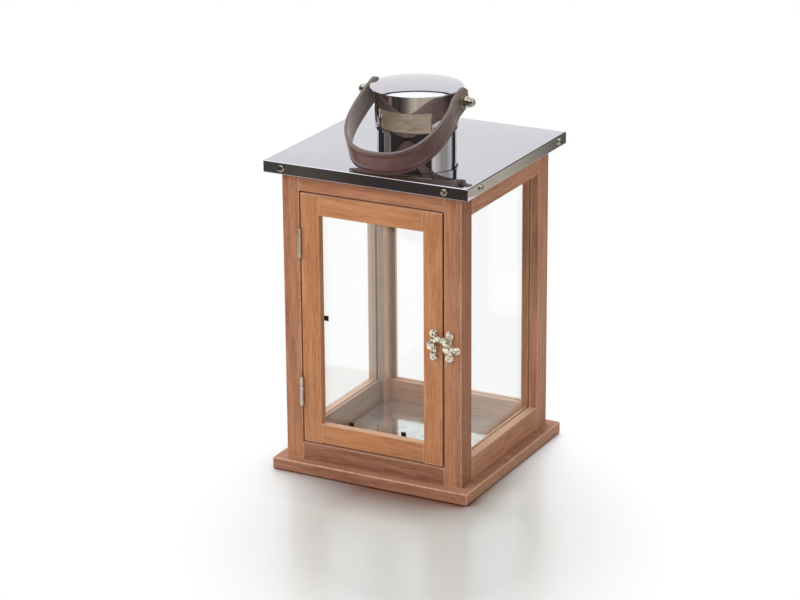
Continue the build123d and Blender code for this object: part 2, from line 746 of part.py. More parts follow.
# Hook: an arched neck from the pivot's eye to a claw over the peg, and a finger knob behind the eye
with BuildPart() as latch_hook:
    with BuildSketch(face.offset(hook_in)):
        with Locations((hook_mid_x, latch_z)):
            Circle(hook_arch_r + hook_band / 2)
            Circle(hook_arch_r - hook_band / 2, mode=Mode.SUBTRACT)
            Rectangle(4 * hook_arch_r, 2 * hook_arch_r, align=(Align.CENTER, Align.MAX),
                      mode=Mode.SUBTRACT)
        with Locations((latch_door_x, latch_z - hook_leg_drop)):
            Rectangle(hook_leg_wide, hook_leg_drop + hook_arch_r / 2, align=(Align.CENTER, Align.MIN))
        with Locations((latch_post_x, latch_z)):
            Circle(hook_eye_r)
            Rectangle(hook_arm, hook_arm_tall, align=(Align.MIN, Align.CENTER))
        with Locations((latch_door_x, latch_z)):
            Circle(peg_r + peg_gap, mode=Mode.SUBTRACT)
            Rectangle(2 * (peg_r + peg_gap), 2 * hook_leg_drop, align=(Align.CENTER, Align.MAX),
                      mode=Mode.SUBTRACT)
    extrude(amount=hook_thick)
    fillet(front_edges(latch_hook, hook_out), hook_round)
    with Locations((latch_post_x + hook_arm, front - hook_in - knob_r + knob_sink, latch_z)):
        Sphere(knob_r)
    rod(pivot_r + running_fit, (latch_post_x, front - hook_in, latch_z), (0, -1, 0), hook_thick,
        Mode.SUBTRACT)
save(latch_hook, "latch_hook")
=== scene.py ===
import json
from math import asin, atan2, cos, hypot, pi, radians, sin, sqrt

import bmesh
import bpy
from mathutils import Matrix, Vector


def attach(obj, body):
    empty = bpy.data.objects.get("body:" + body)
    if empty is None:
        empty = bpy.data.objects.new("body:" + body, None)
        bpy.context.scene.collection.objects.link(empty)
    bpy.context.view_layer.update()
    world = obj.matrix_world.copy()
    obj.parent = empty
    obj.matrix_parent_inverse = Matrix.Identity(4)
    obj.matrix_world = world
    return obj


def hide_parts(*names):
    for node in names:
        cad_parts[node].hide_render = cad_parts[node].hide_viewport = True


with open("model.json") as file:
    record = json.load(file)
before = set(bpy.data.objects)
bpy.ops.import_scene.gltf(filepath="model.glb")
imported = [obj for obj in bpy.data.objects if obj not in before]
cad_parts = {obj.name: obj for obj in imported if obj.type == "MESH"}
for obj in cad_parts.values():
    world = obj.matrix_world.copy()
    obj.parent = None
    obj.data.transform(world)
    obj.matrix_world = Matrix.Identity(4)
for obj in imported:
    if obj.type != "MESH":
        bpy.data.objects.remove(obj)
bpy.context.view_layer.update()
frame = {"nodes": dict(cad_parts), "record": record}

# A candle lantern: stained wooden case, glass, polished steel roof and chimney, leather strap.
# Metres; the door faces -Y and +Z is up.
MM = 0.001
nodes = frame["nodes"]
# How far a normal turns at a sharp edge and on a rounded one, as cosines
EDGE_TURN = (0.998, 0.88)
EASE_TURN = (0.98, 0.82)


def tone(red, green, blue):
    """A colour given as screen values from 0 to 255, as linear light."""
    def linear(value):
        value /= 255
        return value / 12.92 if value <= 0.04045 else ((value + 0.055) / 1.055) ** 2.4
    return (linear(red), linear(green), linear(blue), 1.0)


def add(tree, kind, inputs=None, **settings):
    """One shader node with its settings, its input values and its incoming links."""
    node = tree.nodes.new(kind)
    for key, value in settings.items():
        setattr(node, key, value)
    for key, value in (inputs or {}).items():
        if isinstance(value, bpy.types.NodeSocket):
            tree.links.new(value, node.inputs[key])
        else:
            node.inputs[key].default_value = value
    return node


def math_node(tree, operation, first, second=0.0, clamp=False):
    """The result of one Math node."""
    node = add(tree, "ShaderNodeMath", {0: first, 1: second}, operation=operation, use_clamp=clamp)
    return node.outputs[0]


def span(tree, value, low, high, to_low=0.0, to_high=1.0):
    """A value from low to high, mapped to another range and held at its ends."""
    node = add(tree, "ShaderNodeMapRange", {"Value": value, "From Min": low, "From Max": high,
                                            "To Min": to_low, "To Max": to_high})
    return node.outputs["Result"]


def blend_colour(tree, share, first, second):
    """Two colours mixed by a share."""
    node = add(tree, "ShaderNodeMix", {0: share, 6: first, 7: second}, data_type="RGBA")
    return node.outputs[2]


def noise(tree, vector, scale, detail=4.0, rough=0.55, distortion=0.0):
    """A noise value around 0.5."""
    node = add(tree, "ShaderNodeTexNoise", {"Vector": vector, "Scale": scale, "Detail": detail,
                                            "Roughness": rough, "Distortion": distortion})
    return node.outputs["Fac"]


def object_coordinates(tree, shift=(0, 0, 0), scale=(1, 1, 1)):
    """Object coordinates in metres, moved and stretched."""
    source = add(tree, "ShaderNodeTexCoord").outputs["Object"]
    node = add(tree, "ShaderNodeMapping", {"Vector": source, "Location": shift, "Scale": scale})
    return node.outputs["Vector"]


def separate(tree, vector):
    """The X, Y and Z of a vector, by name."""
    return add(tree, "ShaderNodeSeparateXYZ", {0: vector}).outputs


def dot(tree, first, second):
    """The dot product of two vectors."""
    node = add(tree, "ShaderNodeVectorMath", {0: first, 1: second}, operation="DOT_PRODUCT")
    return node.outputs["Value"]


def face_normal(tree):
    """The way the surface faces."""
    return add(tree, "ShaderNodeNewGeometry").outputs["Normal"]


def bump(tree, height, strength, distance):
    """A bumped normal."""
    node = add(tree, "ShaderNodeBump", {"Height": height, "Strength": strength, "Distance": distance})
    return node.outputs["Normal"]


def colour_bands(tree, value, bands):
    """A colour ramp through (position, colour) pairs."""
    ramp = add(tree, "ShaderNodeValToRGB", {"Fac": value})
    stops = ramp.color_ramp.elements
    stops.remove(stops[1])
    stops[0].position, stops[0].color = bands[0][0], (*bands[0][1], 1.0)
    for position, colour in bands[1:]:
        stops.new(position).color = (*colour, 1.0)
    return ramp.outputs["Color"]


def fresh_material(name):
    """A new material, its tree and its surface shader."""
    material = bpy.data.materials.new(name)
    material.use_nodes = True
    return material, material.node_tree, material.node_tree.nodes["Principled BSDF"]


def wire(tree, surface, **values):
    """Links and plain values on a surface shader, by socket name with spaces as underscores."""
    for key, value in values.items():
        socket = surface.inputs[key.replace("_", " ")]
        if isinstance(value, bpy.types.NodeSocket):
            tree.links.new(value, socket)
        else:
            socket.default_value = value


def near_edges(tree, reach):
    """1 close to a sharp edge of the piece and 0 away from it."""
    rounded = add(tree, "ShaderNodeBevel", {"Radius": reach}, samples=8)
    return span(tree, dot(tree, rounded.outputs["Normal"], face_normal(tree)), *EDGE_TURN)


def eased_edges(tree):
    """1 on the rounded edges of a square piece and 0 on its faces."""
    facing = separate(tree, add(tree, "ShaderNodeTexCoord").outputs["Normal"])
    x, y, z = (math_node(tree, "ABSOLUTE", facing[axis]) for axis in "XYZ")
    return span(tree, math_node(tree, "MAXIMUM", math_node(tree, "MAXIMUM", x, y), z), *EASE_TURN)


def into_scene(shape, name):
    """A finished bmesh as an object of the scene."""
    mesh = bpy.data.meshes.new(name)
    shape.to_mesh(mesh)
    shape.free()
    piece = bpy.data.objects.new(name, mesh)
    bpy.context.scene.collection.objects.link(piece)
    return piece


# Stained wood

# The 'inner' stain, for pieces inside the case, and the 'side' stain, for the pieces on the right, are
# lighter as painted light
STAINS = {
    "frame": {"deep": tone(138, 87, 61), "main": tone(179, 120, 88), "pale": tone(196, 141, 109)},
    "door": {"deep": tone(153, 96, 60), "main": tone(190, 128, 85), "pale": tone(206, 150, 107)},
    "base": {"deep": tone(124, 79, 58), "main": tone(163, 110, 84), "pale": tone(190, 140, 112)},
    "side": {"deep": tone(144, 93, 66), "main": tone(188, 129, 96), "pale": tone(206, 153, 121)},
    "sill": {"deep": tone(112, 71, 51), "main": tone(148, 98, 74), "pale": tone(174, 125, 99)},
    "inner": {"deep": tone(150, 104, 76), "main": tone(191, 141, 108), "pale": tone(208, 163, 132)},
}
# Pale colour of worn edges, also used as a painted sheen that lightens upward faces
WEAR_AND_TOP_SHEEN = tone(222, 182, 154)
FLECK = tone(222, 190, 168)
# Colours for single faces: a painted reflection of the glass in front of them, two painted lights and a
# painted shade
PAINTED_GLASS_REFLECTION = tone(170, 161, 147)
PAINTED_LIGHT_PALE = tone(208, 156, 126)
PAINTED_LIGHT_WARM = tone(242, 186, 142)
SHADED = tone(138, 84, 54)
# Bare wood inside the pane grooves, painted near white as painted light in the deep, dark grooves
BARE_WOOD_PAINTED_LIT = tone(252, 242, 226)
GRAIN_STRETCH = 14.0
EDGE_WEAR = 1.8 * MM
# Share of the painted sheen on upward faces, and on the base's
PAINTED_TOP_SHEEN = 0.85
BASE_PAINTED_TOP_SHEEN = 0.15
ODD_FACE_SHARE = 0.5

# The grooves of the side panes: their place across, the posts' inner ends, and the rails' low and high ones
GROOVE_LINE = (71.0 * MM, 73.8 * MM)
GROOVE_POST = (62.3 * MM, 66.8 * MM)
GROOVE_LOW = (25.8 * MM, 30.1 * MM)
GROOVE_HIGH = (236.7 * MM, 241.0 * MM)
GROOVE_BRINK = 0.05 * MM


def within(tree, value, low, high):
    """1 between two values and 0 outside them."""
    return math_node(tree, "MULTIPLY", span(tree, value, low, low + GROOVE_BRINK),
                     span(tree, value, high, high - GROOVE_BRINK))


def bare_and_lit_grooves(tree):
    """1 inside the grooves of the side panes, where the wood is bare and painted lit, and 0 elsewhere."""
    spot = separate(tree, object_coordinates(tree))
    across = math_node(tree, "ABSOLUTE", spot["X"])
    beyond = math_node(tree, "ABSOLUTE", spot["Y"])
    rails = math_node(tree, "MAXIMUM", within(tree, spot["Z"], *GROOVE_LOW),
                      within(tree, spot["Z"], *GROOVE_HIGH))
    between_posts = span(tree, beyond, GROOVE_POST[0], GROOVE_POST[0] - GROOVE_BRINK)
    rails = math_node(tree, "MULTIPLY", rails, between_posts)
    ends = math_node(tree, "MAXIMUM", rails, within(tree, beyond, *GROOVE_POST))
    return math_node(tree, "MULTIPLY", ends, within(tree, across, *GROOVE_LINE))


def stained_wood(name, along, stain, shift, odd_faces):
    """Wood with its grain along one axis: bands, streaks, fibres, pores, pale flecks and worn edges, a
    painted sheen on upward faces, and painted light, shade and glass reflection on some faces and in the
    grooves.
    """
    material, tree, surface = fresh_material(name)
    scale = [1.0, 1.0, 1.0]
    scale["XYZ".index(along)] = 1 / GRAIN_STRETCH
    place = (0.31 * shift, 0.17 * shift, 0.23 * shift)
    grain = object_coordinates(tree, place, scale)
    even = object_coordinates(tree, place)
    colours = STAINS[stain]

    bands = noise(tree, grain, 90, 3.0, 0.5, 0.6)
    streaks = noise(tree, grain, 330, 4.0, 0.6, 0.4)
    fibres = noise(tree, grain, 1100, 4.0, 0.6)
    patches = noise(tree, even, 22, 3.0, 0.5)
    pores = span(tree, noise(tree, grain, 2300, 2.0, 0.5), 0.60, 0.72)
    flecks = span(tree, noise(tree, even, 900, 3.0, 0.6), 0.665, 0.74)

    body = blend_colour(tree, span(tree, bands, 0.22, 0.58), colours["deep"], colours["main"])
    body = blend_colour(tree, span(tree, streaks, 0.50, 0.34, 0.0, 0.55), body, colours["deep"])
    body = blend_colour(tree, span(tree, streaks, 0.50, 0.68, 0.0, 0.60), body, colours["pale"])
    body = blend_colour(tree, span(tree, fibres, 0.45, 0.75, 0.0, 0.7), body, colours["pale"])
    body = blend_colour(tree, span(tree, patches, 0.40, 0.75, 0.0, 0.35), body, colours["pale"])
    body = blend_colour(tree, math_node(tree, "MULTIPLY", pores, 0.30), body, colours["deep"])
    body = blend_colour(tree, math_node(tree, "MULTIPLY", flecks, 0.45), body, FLECK)
    facing = separate(tree, face_normal(tree))
    painted_top_sheen = BASE_PAINTED_TOP_SHEEN if stain == "base" else PAINTED_TOP_SHEEN
    # Painted sheen: upward faces lightened towards the pale colour
    body = blend_colour(tree, span(tree, facing["Z"], 0.6, 1.0, 0.0, painted_top_sheen), body, WEAR_AND_TOP_SHEEN)
    scraped = span(tree, noise(tree, even, 260, 3.0, 0.6), 0.34, 0.60, 0.25, 0.95)
    body = blend_colour(tree, math_node(tree, "MULTIPLY", near_edges(tree, EDGE_WEAR), scraped), body, WEAR_AND_TOP_SHEEN)

    # Painted light, painted shade and painted glass reflection on single faces
    for axis, way, face_tone in odd_faces:
        share = span(tree, facing[axis], 0.3 * way, 0.6 * way, 0.0, ODD_FACE_SHARE)
        body = blend_colour(tree, share, body, face_tone)
        if face_tone == PAINTED_GLASS_REFLECTION:
            wire(tree, surface, Coat_Weight=0.7, Coat_IOR=1.6, Coat_Roughness=0.04)

    if name.startswith(("post", "base")):
        body = blend_colour(tree, math_node(tree, "MULTIPLY", eased_edges(tree), scraped), body, WEAR_AND_TOP_SHEEN)
    if name.startswith(("post", "left", "right")):
        # Bare wood in the grooves, painted pale as painted light
        body = blend_colour(tree, bare_and_lit_grooves(tree), body, blend_colour(tree, fibres, BARE_WOOD_PAINTED_LIT, PAINTED_LIGHT_PALE))

    relief = math_node(tree, "SUBTRACT", fibres, math_node(tree, "MULTIPLY", pores, 0.5))
    wire(tree, surface, Base_Color=body, Roughness=span(tree, fibres, 0.3, 0.7, 0.66, 0.52),
         Normal=bump(tree, relief, 0.30, 0.25 * MM), Specular_IOR_Level=0.30)
    return material


WOODEN = {
    "base_board": ("X", "base"), "top_board": ("X", "base"), "door_stop": ("Z", "inner"),
    "post_front_left": ("Z", "frame"), "post_front_right": ("Z", "frame"),
    "post_back_left": ("Z", "inner"), "post_back_right": ("Z", "side"),
    "front_rail_low": ("X", "sill"), "front_rail_high": ("X", "frame"),
    "back_rail_low": ("X", "inner"), "back_rail_high": ("X", "inner"),
    "left_rail_low": ("Y", "inner"), "left_rail_high": ("Y", "inner"),
    "right_rail_low": ("Y", "side"), "right_rail_high": ("Y", "side"),
    "door_stile_left": ("Z", "door"), "door_stile_right": ("Z", "door"),
    "door_rail_low": ("X", "door"), "door_rail_high": ("X", "door"),
}
# Faces unlike the rest of their piece, by the way they face: inner ones seen through the glass, greyed as a
# painted reflection of the pane and given a glossy coat, two lightened as painted light, and one darkened as
# painted shade
ODD_FACES = {
    "left_rail_low": [("X", 1, PAINTED_GLASS_REFLECTION)], "left_rail_high": [("X", 1, PAINTED_GLASS_REFLECTION)],
    "post_back_left": [("Y", -1, PAINTED_GLASS_REFLECTION), ("X", 1, PAINTED_LIGHT_WARM)], "post_front_right": [("X", 1, SHADED)],
    "base_board": [("X", 1, PAINTED_LIGHT_PALE)],
}


# Metals

STEEL_DULL = tone(199, 198, 205)
STEEL_CLEAN = tone(202, 201, 208)
FLUE_STRAW = tone(252, 247, 238)
FLUE_GREY = tone(200, 188, 169)
FLUE_ROUGHER = 0.42
# Where the painted light on the inside of the flue rises, along X
FLUE_PAINTED_LIGHT = (-32 * MM, -4 * MM)
ROOF_HALF = 91.5 * MM
CROWN_WIDE = 45 * MM
CROWN_DROP = 1.5 * MM
# Reach and colour of the casting's edges, worn and with a painted highlight
CASTING_WEAR_AND_HIGHLIGHT = 0.5 * MM
CASTING_EDGE_WEAR_AND_HIGHLIGHT = tone(244, 238, 226)
ZINC_STAINED = tone(206, 215, 214)
ZINC_CLEAN = tone(252, 254, 253)


def polished_steel(name, crowned=False, flue=False):
    """Mirror-polished sheet with wipe marks: a roof falls away to its folds, a flue is dulled and heat-tinted
    inside, paler towards +X as painted light.
    """
    material, tree, surface = fresh_material(name)
    even = object_coordinates(tree)
    wipes = noise(tree, object_coordinates(tree, scale=(1, 0.25, 1)), 140, 5.0, 0.6)
    colour = blend_colour(tree, span(tree, wipes, 0.35, 0.75), STEEL_DULL, STEEL_CLEAN)
    rough = span(tree, wipes, 0.3, 0.8, 0.02, 0.03)
    if flue:
        outward = add(tree, "ShaderNodeVectorMath", {0: object_coordinates(tree, scale=(1, 1, 0))},
                      operation="NORMALIZE").outputs["Vector"]
        inside = span(tree, dot(tree, outward, face_normal(tree)), -0.2, -0.6)
        bloom = noise(tree, object_coordinates(tree, scale=(1, 1, 6)), 60, 4.0, 0.6)
        # Painted light: the inside is paler towards +X
        painted_light_aside = span(tree, separate(tree, even)["X"], *FLUE_PAINTED_LIGHT, -0.3, 0.3)
        heat_tint_and_painted_light = span(tree, math_node(tree, "ADD", bloom, painted_light_aside), 0.30, 0.70)
        colour = blend_colour(tree, inside, colour, blend_colour(tree, heat_tint_and_painted_light, FLUE_GREY, FLUE_STRAW))
        rough = math_node(tree, "ADD", rough, math_node(tree, "MULTIPLY", inside, FLUE_ROUGHER))
    wire(tree, surface, Base_Color=colour, Metallic=1.0, Roughness=rough)
    if crowned:
        axes = separate(tree, even)
        fall = []
        for axis in "XY":
            reach = math_node(tree, "ABSOLUTE", axes[axis])
            fall.append(math_node(tree, "POWER", span(tree, reach, ROOF_HALF - CROWN_WIDE, ROOF_HALF), 2.0))
        height = math_node(tree, "MULTIPLY", math_node(tree, "ADD", *fall), -1.0)
        plain = face_normal(tree)
        crown = add(tree, "ShaderNodeMix", {0: span(tree, separate(tree, plain)["Z"], 0.90, 0.99), 4: plain,
                                            5: bump(tree, height, 1.0, CROWN_DROP)}, data_type="VECTOR")
        wire(tree, surface, Normal=crown.outputs[1])
    return material


def worn_casting(name, dark, bright):
    """Plated casting: blotched and pitted, near white on its sharp edges as wear and painted highlight."""
    material, tree, surface = fresh_material(name)
    even = object_coordinates(tree)
    pits = noise(tree, even, 1500, 4.0, 0.65)
    blotches = noise(tree, even, 420, 3.0, 0.5)
    colour = blend_colour(tree, span(tree, blotches, 0.33, 0.52), dark, bright)
    # Worn plating and a painted highlight along sharp edges
    colour = blend_colour(tree, near_edges(tree, CASTING_WEAR_AND_HIGHLIGHT), colour, CASTING_EDGE_WEAR_AND_HIGHLIGHT)
    wire(tree, surface, Base_Color=colour, Metallic=0.6, Roughness=span(tree, pits, 0.3, 0.75, 0.16, 0.36),
         Normal=bump(tree, pits, 0.5, 0.14 * MM))
    return material


def zinc_sheet(name):
    """Zinc-coated sheet with mottled crystals and cloudy stains."""
    material, tree, surface = fresh_material(name)
    even = object_coordinates(tree)
    crystal = add(tree, "ShaderNodeTexVoronoi", {"Vector": even, "Scale": 150.0}, feature="F1")
    cloud = noise(tree, even, 38, 5.0, 0.6, 0.5)
    shade = math_node(tree, "ADD", math_node(tree, "MULTIPLY", crystal.outputs["Color"], 0.25), cloud)
    colour = blend_colour(tree, span(tree, shade, 0.40, 0.85), ZINC_STAINED, ZINC_CLEAN)
    dents = noise(tree, even, 24, 2.0, 0.5, 0.8)
    wire(tree, surface, Base_Color=colour, Metallic=0.85, Roughness=span(tree, cloud, 0.3, 0.7, 0.05, 0.16),
         Normal=bump(tree, dents, 0.20, 0.5 * MM))
    return material


def plain_metal(name, dark, bright, rough):
    """Small steel fittings with drawn marks and dulled patches."""
    material, tree, surface = fresh_material(name)
    even = object_coordinates(tree)
    marks = noise(tree, even, 700, 4.0, 0.6)
    colour = blend_colour(tree, span(tree, marks, 0.35, 0.65), dark, bright)
    wire(tree, surface, Base_Color=colour, Metallic=1.0,
         Roughness=span(tree, marks, 0.3, 0.7, rough * 0.8, rough * 1.3),
         Normal=bump(tree, marks, 0.15, 0.06 * MM))
    return material


def clear_glass(name):
    """Thin sheet glass: clear head on, mirroring at a slant, with a light film of dust."""
    material, tree, surface = fresh_material(name)
    even = object_coordinates(tree)
    dust = span(tree, noise(tree, even, 60, 5.0, 0.65), 0.55, 0.85, 0.040, 0.052)
    slant = add(tree, "ShaderNodeLayerWeight", {"Blend": 0.5}).outputs["Facing"]
    gloss = math_node(tree, "ADD", math_node(tree, "POWER", slant, 5.0), dust, True)
    clear = add(tree, "ShaderNodeBsdfTransparent", {"Color": (0.997, 1.0, 0.998, 1.0)})
    wire(tree, surface, Base_Color=(0.93, 0.97, 0.94, 1.0), Metallic=1.0, Roughness=0.02)
    pane = add(tree, "ShaderNodeMixShader", {0: gloss, 1: clear.outputs[0], 2: surface.outputs[0]})
    tree.links.new(pane.outputs[0], tree.nodes["Material Output"].inputs["Surface"])
    return material


# Leather

# The painted sheen colour lightens the legs towards the tails
LEATHER = {
    "deep": tone(78, 43, 35), "main": tone(106, 62, 51), "scuff": tone(142, 112, 100),
    "crease": tone(46, 30, 27), "painted_sheen": tone(146, 128, 120), "rubbed": tone(116, 92, 86),
    "sheen": tone(236, 228, 224),
}
FLESH = {"deep": tone(136, 112, 101), "main": tone(166, 142, 129), "nap": tone(190, 170, 157)}
CUT_DEEP = tone(92, 76, 73)
CUT_MAIN = tone(124, 108, 104)

# The strap: its loop lies in a plane that tilts from the studs down to the roof
STRAP_WIDE = 19.8 * MM
STRAP_THICK = 2.6 * MM
STRAP_LONG = 93.4 * MM
STRAP_STRAIGHT = 28.0 * MM
STRAP_FLAT = 7.0 * MM
STRAP_TAIL = 11.0 * MM
STRAP_TAIL_ROUND = 8.5 * MM
STRAP_FACE = 41.2 * MM
STRAP_BELLY = 42.5 * MM
STRAP_LEAN = 8.9 * MM
STRAP_SQUARE = 2.4
STRAP_REST_GAP = 0.25 * MM
STRAP_CREASE = 7.1 * MM
STRAP_CREASE_DEEP = 0.28 * MM
STRAP_CREASE_HALF = 0.4 * MM
STRAP_CREASE_DYE = (0.10 * MM, 0.40 * MM)
STRAP_RIM = 0.6 * MM
STRAP_RUBBED = 0.8 * MM
STRAP_BETWEEN = 3.5 * MM
STRAP_EDGE_ROUND = 0.45 * MM
STRAP_EDGE_TURN = radians(50)
STUD_Z = 309.3 * MM
STUD_RISE = 42.3 * MM
# From the tails: where the painted sheen begins, and where it is strongest
STRAP_PAINTED_SHEEN = (75 * MM, 25 * MM)
# Rows of points down a leg, round the tail, past the stud and out to the loop, and the loop's step in degrees
TAIL_STEPS = (0.0, 0.076, 0.293, 0.617, 1.0)
STUD_ROWS = (1.5 * MM, 4.5 * MM, 7.0 * MM)
SHOULDER_STEPS = (0.2, 0.4, 0.6, 0.8)
LOOP_STEP = 3
strap_reach = STRAP_LONG + STRAP_THICK / 2
strap_tilt = asin((STUD_RISE - STRAP_REST_GAP) / hypot(strap_reach, STRAP_WIDE / 2)) \
    - atan2(STRAP_WIDE / 2, strap_reach)


def strap_coordinates(tree):
    """Metres along the strap and across it, from its own map."""
    return add(tree, "ShaderNodeUVMap", uv_map="strap_run").outputs["UV"]


def grain_leather(name):
    """Smooth dark leather: pebbled, with mottled dye, dark creases and a painted sheen towards each tail."""
    material, tree, surface = fresh_material(name)
    run = strap_coordinates(tree)
    pebbles = add(tree, "ShaderNodeTexVoronoi", {"Vector": run, "Scale": 1500.0, "Randomness": 1.0},
                  feature="SMOOTH_F1").outputs["Distance"]
    dye = noise(tree, run, 95, 4.0, 0.6)
    scuffs = span(tree, noise(tree, run, 420, 5.0, 0.7), 0.60, 0.78)
    axes = separate(tree, run)
    across = math_node(tree, "ABSOLUTE", axes["Y"])
    off_crease = math_node(tree, "ABSOLUTE", math_node(tree, "SUBTRACT", across, STRAP_CREASE))
    crease = span(tree, off_crease, *STRAP_CREASE_DYE, 1.0, 0.0)
    rim = span(tree, across, STRAP_WIDE / 2 - STRAP_RUBBED, STRAP_WIDE / 2, 0.0, 0.5)
    half_run = strap_run() / 2
    from_middle = math_node(tree, "ABSOLUTE", math_node(tree, "SUBTRACT", axes["X"], half_run))
    # Painted sheen: the legs are lightened towards the tails
    painted_sheen = span(tree, from_middle, half_run - STRAP_PAINTED_SHEEN[0], half_run - STRAP_PAINTED_SHEEN[1], 0.0, 0.55)
    colour = blend_colour(tree, span(tree, dye, 0.32, 0.68), LEATHER["deep"], LEATHER["main"])
    colour = blend_colour(tree, math_node(tree, "MULTIPLY", scuffs, 0.4), colour, LEATHER["scuff"])
    colour = blend_colour(tree, math_node(tree, "MULTIPLY", crease, 0.7), colour, LEATHER["crease"])
    colour = blend_colour(tree, painted_sheen, colour, LEATHER["painted_sheen"])
    colour = blend_colour(tree, rim, colour, LEATHER["rubbed"])
    wire(tree, surface, Base_Color=colour, Roughness=span(tree, dye, 0.3, 0.7, 0.26, 0.38),
         Normal=bump(tree, pebbles, 0.25, 0.10 * MM), Specular_IOR_Level=0.65,
         Sheen_Weight=0.55, Sheen_Roughness=0.36, Sheen_Tint=LEATHER["sheen"])
    return material


def flesh_leather(name):
    """The strap's inner face: napped, greyish brown and matt."""
    material, tree, surface = fresh_material(name)
    run = strap_coordinates(tree)
    nap = noise(tree, run, 1300, 5.0, 0.7)
    cloud = noise(tree, run, 130, 3.0, 0.6)
    colour = blend_colour(tree, span(tree, cloud, 0.3, 0.7), FLESH["deep"], FLESH["main"])
    colour = blend_colour(tree, span(tree, nap, 0.45, 0.75, 0.0, 0.5), colour, FLESH["nap"])
    wire(tree, surface, Base_Color=colour, Roughness=0.92, Sheen_Weight=1.0, Sheen_Roughness=0.45,
         Normal=bump(tree, nap, 0.5, 0.15 * MM))
    return material


def cut_leather(name):
    """The strap's cut edge: burnished, with fibres along it."""
    material, tree, surface = fresh_material(name)
    fibres = noise(tree, object_coordinates(tree), 1400, 4.0, 0.65)
    colour = blend_colour(tree, span(tree, fibres, 0.35, 0.65), CUT_DEEP, CUT_MAIN)
    wire(tree, surface, Base_Color=colour, Roughness=span(tree, fibres, 0.3, 0.7, 0.42, 0.6),
         Normal=bump(tree, fibres, 0.3, 0.08 * MM))
    return material


def strap_line():
    """The outer face of the strap in its own plane, from the right tail round to the left one."""
    def leg(side):
        rows = [(side * STRAP_FACE, -STRAP_TAIL + step * STRAP_TAIL_ROUND) for step in TAIL_STEPS]
        rows += [(side * STRAP_FACE, depth) for depth in STUD_ROWS]
        shoulder = side * STRAP_BELLY + STRAP_LEAN * STRAP_STRAIGHT / STRAP_LONG
        slope = STRAP_LEAN / STRAP_LONG * (STRAP_STRAIGHT - STRAP_FLAT)
        for step in SHOULDER_STEPS:
            ease = step * step * (3 - 2 * step)
            pull = step * step * (step - 1) * slope
            rows.append((side * STRAP_FACE + (shoulder - side * STRAP_FACE) * ease + pull,
                         STRAP_FLAT + (STRAP_STRAIGHT - STRAP_FLAT) * step))
        return rows
    bend = []
    for angle in range(0, 181, LOOP_STEP):
        across = cos(radians(angle))
        depth = STRAP_STRAIGHT + (strap_reach - STRAP_STRAIGHT) * sin(radians(angle)) ** (2 / STRAP_SQUARE)
        width = STRAP_BELLY * abs(across) ** (2 / STRAP_SQUARE)
        bend.append(((width if across > 0 else -width) + STRAP_LEAN * depth / STRAP_LONG, depth))
    return leg(1) + bend + leg(-1)[::-1]


def strap_run():
    """The strap's length from tail to tail."""
    line = [Vector(spot) for spot in strap_line()]
    return sum((after - before).length for before, after in zip(line, line[1:]))


def strap_spot(place):
    """A point of the loop's plane, rounded so that it can be looked up again."""
    return round(place.x, 7), round(place.y, 7)


def strap_sheet():
    """The strap's outer face: a band swept round the loop, creased beside its edges, with rounded tails."""
    shape = bmesh.new()
    run_map = shape.loops.layers.uv.new("strap_run")
    line = [shape.verts.new((x, y, 0)) for x, y in strap_line()]
    edges = [shape.edges.new(pair) for pair in zip(line, line[1:])]
    travel = {}
    length = 0.0
    for before, after in zip([line[0]] + line, line):
        length += (after.co - before.co).length
        travel[strap_spot(after.co)] = length

    # The band, column by column from one edge to the other
    half = STRAP_WIDE / 2
    columns = [-half, -half + STRAP_RIM, -STRAP_CREASE - STRAP_CREASE_HALF, -STRAP_CREASE,
               -STRAP_CREASE + STRAP_CREASE_HALF, -STRAP_BETWEEN, 0.0]
    columns += [-z for z in columns[-2::-1]]
    bmesh.ops.translate(shape, vec=(0, 0, columns[0]), verts=line)
    for low, high in zip(columns, columns[1:]):
        grown = bmesh.ops.extrude_edge_only(shape, edges=edges)["geom"]
        edges = [item for item in grown if isinstance(item, bmesh.types.BMEdge)]
        fresh = [item for item in grown if isinstance(item, bmesh.types.BMVert)]
        edges = [edge for edge in edges if all(vert in fresh for vert in edge.verts)]
        bmesh.ops.translate(shape, vec=(0, 0, high - low), verts=fresh)
    front = max(shape.faces, key=lambda face: face.calc_center_median().y)
    front.normal_update()
    if front.normal.y < 0:
        bmesh.ops.reverse_faces(shape, faces=shape.faces[:])
    shape.normal_update()

    # Its map, its creases and its rounded tails
    for face in shape.faces:
        for corner in face.loops:
            corner[run_map].uv = (travel[strap_spot(corner.vert.co)], corner.vert.co.z)
    for vert in shape.verts:
        if abs(abs(vert.co.z) - STRAP_CREASE) < STRAP_CREASE_HALF / 2:
            vert.co -= vert.normal * STRAP_CREASE_DEEP
    for vert in shape.verts:
        rise = STRAP_TAIL_ROUND - (vert.co.y + STRAP_TAIL)
        if rise > 0:
            vert.co.z *= (half - STRAP_TAIL_ROUND + sqrt(STRAP_TAIL_ROUND ** 2 - rise ** 2)) / half

    # Tilted about the studs' line, down to the roof
    loop_frame = Matrix(((1, 0, 0), (0, -cos(strap_tilt), -sin(strap_tilt)),
                         (0, sin(strap_tilt), -cos(strap_tilt)))).transposed().to_4x4()
    bmesh.ops.transform(shape, matrix=Matrix.Translation((0, 0, STUD_Z)) @ loop_frame, verts=shape.verts)
    for face in shape.faces:
        face.smooth = True
    return shape


